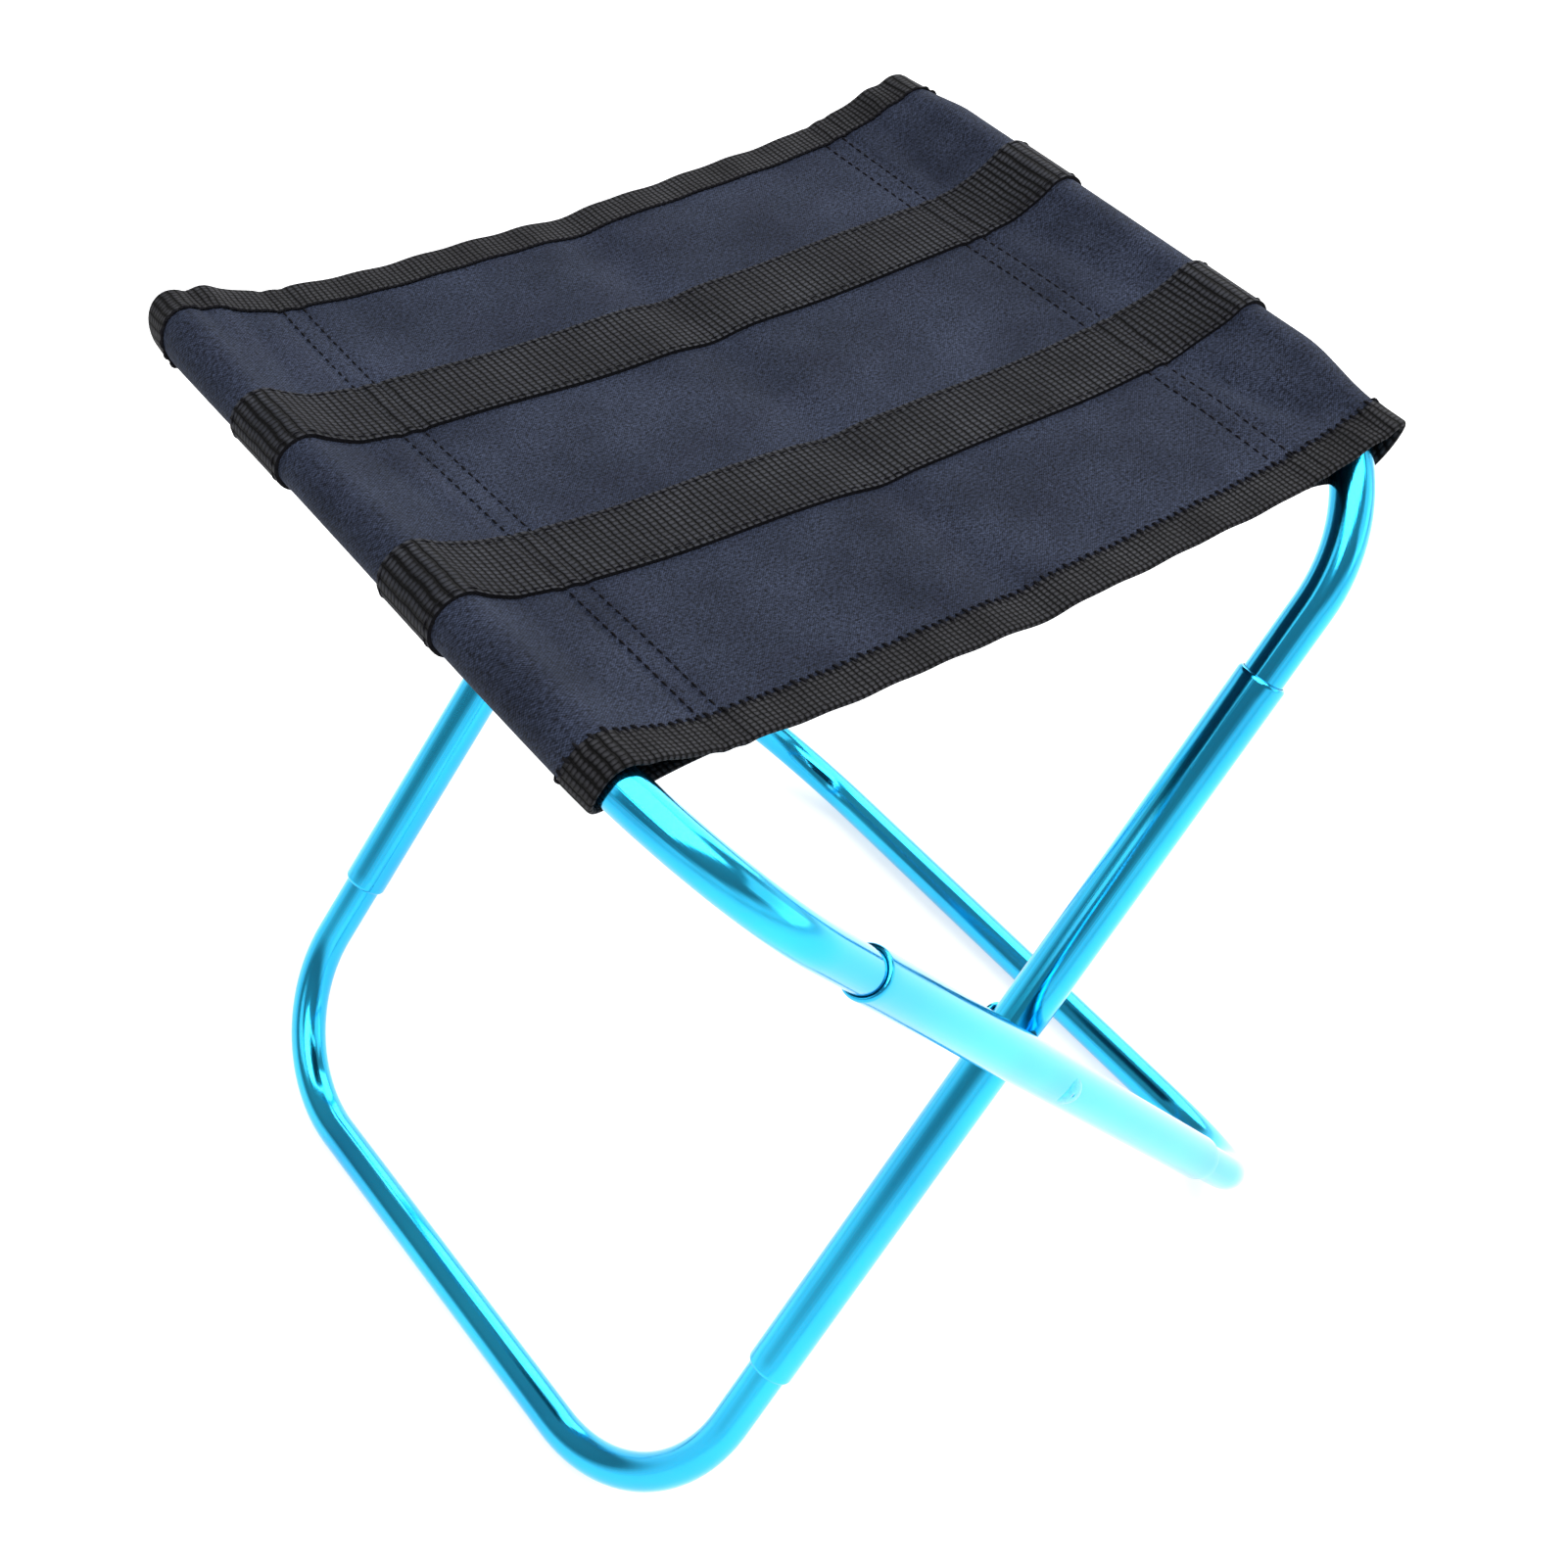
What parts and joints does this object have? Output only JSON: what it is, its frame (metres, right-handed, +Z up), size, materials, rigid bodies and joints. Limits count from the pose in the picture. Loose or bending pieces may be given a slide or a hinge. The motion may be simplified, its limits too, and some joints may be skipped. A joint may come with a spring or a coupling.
{
  "type": "folding camp stool",
  "caption": "Small folding stool with two riveted tube loops for legs and a cloth seat, with webbing straps, slung between their top bars.",
  "frame": {"origin": "on the floor, at the middle of the footprint", "axes": "+Z up, X from seat bar A to seat bar B, Y along the bars with the near legs at -Y"},
  "size_m": [0.2222, 0.251, 0.278],
  "materials": {
    "blue_tube": "glossy blue anodised",
    "rivet_metal": "blue anodised",
    "pivot_nylon": "black nylon",
    "seat_cloth": "dark navy plain weave polyester",
    "webbing": "charcoal flat webbing",
    "binding_tape": "black ribbed edge tape"
  },
  "bodies": {
    "frame_a": {"seat_bow_a": "blue_tube", "foot_bow_a": "blue_tube", "leg_sleeve_a_near": "blue_tube", "leg_sleeve_a_far": "blue_tube", "seat_tunnel_a": "seat_cloth", "pivot_rivet_near": "rivet_metal", "pivot_spacer_near": "pivot_nylon", "rivet_washer_near": "rivet_metal", "pivot_rivet_far": "rivet_metal", "pivot_spacer_far": "pivot_nylon", "rivet_washer_far": "rivet_metal"},
    "frame_b": {"seat_bow_b": "blue_tube", "foot_bow_b": "blue_tube", "leg_sleeve_b_near": "blue_tube", "leg_sleeve_b_far": "blue_tube", "seat_tunnel_b": "seat_cloth"},
    "seat_a": {"seat_panel_a": "seat_cloth", "front_strap_a": "webbing", "front_binding_a": "binding_tape", "rear_strap_a": "webbing", "rear_binding_a": "binding_tape"},
    "seat_b": {"seat_panel_b": "seat_cloth", "front_strap_b": "webbing", "front_binding_b": "binding_tape", "rear_strap_b": "webbing", "rear_binding_b": "binding_tape"}
  },
  "joints": [
    {"name": "fold", "type": "hinge", "parent": "frame_a", "child": "frame_b", "pos_m": [0, 0, 0.14023], "axis": [0, -1, 0], "range_deg": [0, 68]},
    {"name": "seat_a_drop", "type": "hinge", "parent": "frame_a", "child": "seat_a", "pos_m": [-0.1027, 0, 0.2712], "axis": [0, 1, 0], "range_deg": [0, 48]},
    {"name": "seat_b_drop", "type": "hinge", "parent": "frame_b", "child": "seat_b", "pos_m": [0.1027, 0, 0.2712], "axis": [0, -1, 0], "range_deg": [0, 48]}
  ],
  "couplings": [
    {"joint": "seat_a_drop", "follows": "fold", "ratio": 0.6848},
    {"joint": "seat_b_drop", "follows": "fold", "ratio": 0.6848}
  ]
}
